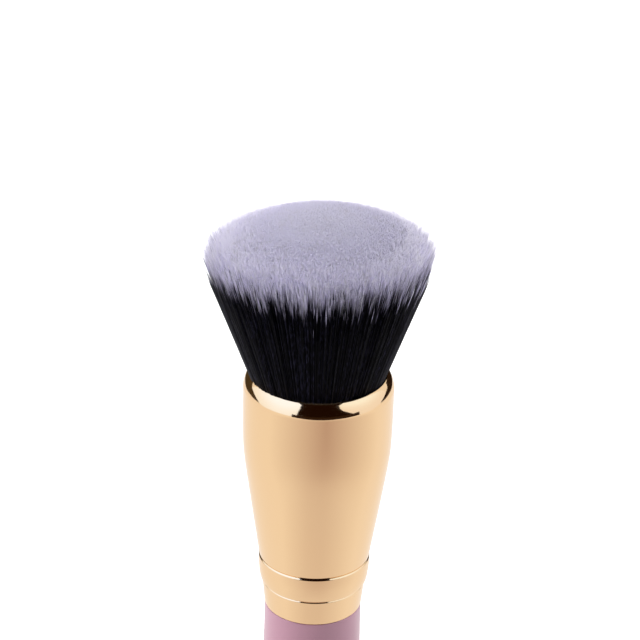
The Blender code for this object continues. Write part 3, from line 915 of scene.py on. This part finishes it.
def makeRoom(spec):
    # White behind the brush, dark in front of it and overhead, parted by the turn and the rise of a ray's
    # direction. The camera sees white everywhere.
    world = bpy.data.worlds.new("softStudio")
    bpy.context.scene.world = world
    world.use_nodes = True
    tree = world.node_tree
    place = tree.nodes.new("ShaderNodeTexCoord")
    split = tree.nodes.new("ShaderNodeSeparateXYZ")
    link(tree, place.outputs["Generated"], split.inputs["Vector"])
    towards = maths(tree, "MULTIPLY", split.outputs["Y"], -1.0)
    turn = maths(tree, "ABSOLUTE", maths(tree, "ARCTAN2", split.outputs["X"], towards))
    rise = maths(tree, "ARCSINE", split.outputs["Z"])
    darkTurn, darkRise = math.radians(spec["darkTurn"]), math.radians(spec["darkRise"])
    soft = math.radians(spec["darkSoft"])
    behind = spread(tree, turn, 0.0, 1.0, darkTurn - soft, darkTurn + soft)
    below = spread(tree, rise, 1.0, 0.0, darkRise - soft, darkRise + soft)
    overhead = spread(tree, rise, 0.0, 1.0, darkRise - soft, math.radians(spec["topRise"]))
    dark = mixColours(tree, overhead, spec["frontDark"], spec["topDark"])
    paths = tree.nodes.new("ShaderNodeLightPath")
    level = maths(tree, "MAXIMUM", maths(tree, "MULTIPLY", behind, below), paths.outputs["Is Camera Ray"])
    link(tree, mixColours(tree, level, dark, (1.0, 1.0, 1.0)), tree.nodes["Background"].inputs["Color"])


def makeFloor(spec):
    # The camera sees a white floor with the brush's shadow, the gold mirrors a lit floor that is dimmest at
    # one spot in front, and matt surfaces get its plain light.
    material, tree, shader = newMaterial("paleTable")
    shader.inputs["Roughness"].default_value = spec["floorRoughness"]
    shader.inputs["Specular IOR Level"].default_value = 0.0
    paths = tree.nodes.new("ShaderNodeLightPath")
    seen = paths.outputs["Is Camera Ray"]
    place = objectPlace(tree)
    away = vectorMaths(tree, "DISTANCE", place, spec["dimPlace"])
    fromFoot = vectorMaths(tree, "LENGTH", place)
    split = tree.nodes.new("ShaderNodeSeparateXYZ")
    link(tree, place, split.inputs["Vector"])
    aside = spread(tree, maths(tree, "ABSOLUTE", split.outputs["X"]), spec["footGain"],
                   spec["footGain"] + spec["sideGain"], spec["sideNear"], spec["sideFar"])
    near = spread(tree, fromFoot.outputs["Value"], 1.0, 0.0, spec["footNear"], spec["footFar"])
    gain = maths(tree, "MULTIPLY", aside, near)
    share = spread(tree, away.outputs["Value"], 0.0, 1.0, 0.0, spec["dimReach"])
    share = maths(tree, "MINIMUM", maths(tree, "ADD", share, gain), 1.0)
    mirrored = mixColours(tree, share, spec["dimColour"], spec["fullColour"])
    lit = mixColours(tree, paths.outputs["Is Glossy Ray"], spec["plainFloor"], mirrored)
    link(tree, mixColours(tree, seen, lit, (1.0, 1.0, 1.0)), shader.inputs["Emission Color"])
    link(tree, spread(tree, seen, 1.0, spec["floorLift"]), shader.inputs["Emission Strength"])
    link(tree, mixColours(tree, seen, (0.0, 0.0, 0.0), spec["floorPaint"]), shader.inputs["Base Color"])
    half = spec["floorSize"] / 2
    mesh = bpy.data.meshes.new("table")
    corners = [(-half, -half, 0), (half, -half, 0), (half, half, 0), (-half, half, 0)]
    mesh.from_pydata(corners, [], [(0, 1, 2, 3)])
    mesh.materials.append(material)
    addStage("table", mesh)


def cardFinish(name, colour):
    # Matt, without gloss.
    material, _, shader = newMaterial(name)
    shader.inputs["Base Color"].default_value = (*colour, 1)
    shader.inputs["Roughness"].default_value = 1.0
    shader.inputs["Specular IOR Level"].default_value = 0.0
    return material


def addLamp(name, turn, rise, power, spec):
    # A square lamp that faces the lip, and that no reflection sees.
    lamp = addStage(name, bpy.data.lights.new(name, "AREA"))
    lamp.data.energy = power
    lamp.data.size = spec["lampSize"]
    lamp.location = spotAt(turn, rise, spec["lampDistance"])
    lamp.rotation_euler = directionTo(turn, rise).to_track_quat("Z", "Y").to_euler()
    lamp.visible_glossy = False


def makeStudio(spec):
    # All that the gold mirrors and that lights the brush.
    bpy.context.scene.view_settings.view_transform = "Standard"
    makeRoom(spec)
    makeFloor(spec)
    addPanel("leftPanel", "left", spec)
    addPanel("rightPanel", "right", spec)
    for name, (turn, rise, power) in spec["lamps"].items():
        addLamp(name, turn, rise, power, spec)
    brown = cardFinish("brownCard", spec["leftFlagColour"])
    black = cardFinish("blackCard", spec["rightFlagColour"])
    addFlag("leftFlag", -1, 0.0, brown, spec)
    addFlag("rightFlag", 1, spec["rightFlagTurn"], black, spec)
    left, right = spec["sillReach"]
    y, foot, top = -spec["sillDistance"], spec["sillFoot"], spec["sillTop"]
    addCard("frontSill", [(left, y, foot), (right, y, foot), (right, y, top), (left, y, top)], black)


view = {
    "lens": 135.0,
    "sensor": 36.0,
    "nearest": 0.01,
    "distance": 0.336,  # camera to the lip, along the line of sight
    "elevation": 26.1,
    "roll": 1.61,
    "aimRight": -0.00009,  # how far the line of sight is from the lip's centre
    "aimUp": 0.00893,
}


def makeCamera(spec):
    # It looks at the lip's centre from the front and above, moved a little in its own plane and rolled.
    rise = math.radians(spec["elevation"])
    forward = Vector((0, math.cos(rise), -math.sin(rise)))
    up = Vector((0, math.sin(rise), math.cos(rise)))
    right = Vector((1, 0, 0))
    lip = Vector((0, 0, mouth - ferrule["lipHeight"]))
    place = lip - forward * spec["distance"] + right * spec["aimRight"] + up * spec["aimUp"]
    turn = Matrix((right, up, -forward)).transposed().to_4x4()
    roll = Matrix.Rotation(math.radians(spec["roll"]), 4, "Z")
    camera = bpy.data.objects.new("camera", bpy.data.cameras.new("camera"))
    camera.data.lens = spec["lens"]
    camera.data.sensor_width = spec["sensor"]
    camera.data.clip_start = spec["nearest"]
    camera.matrix_world = Matrix.Translation(place) @ turn @ roll
    bpy.context.scene.collection.objects.link(camera)
    bpy.context.scene.camera = camera


makeCamera(view)
makeStudio(studio)
print("studio and camera made")
marks = scuffGroup(marking)
makeFerrule(markedFinish("polishedLightGold", marks, ferrule), ferrule)
makeHandle(markedFinish("mauveLacquer", marks, handle), handle)
print("ferrule and handle made")
resin = sealedFinish("hardenedResin", "resin", sealed)
dressNode("handle_glue", resin)
dressNode("root_glue_plug", resin)
dressNode("binding_thread", sealedFinish("waxedThread", "thread", sealed))
print("sealed pieces dressed")
fineEnds = {**head, "tipColour": head["endColour"], "paintedRimLight": head["endColour"]}
makeHead(filamentFinish("dippedFilament", head), packedFinish(head), filamentFinish("fineEnds", fineEnds),
         head)
print("bristles made")
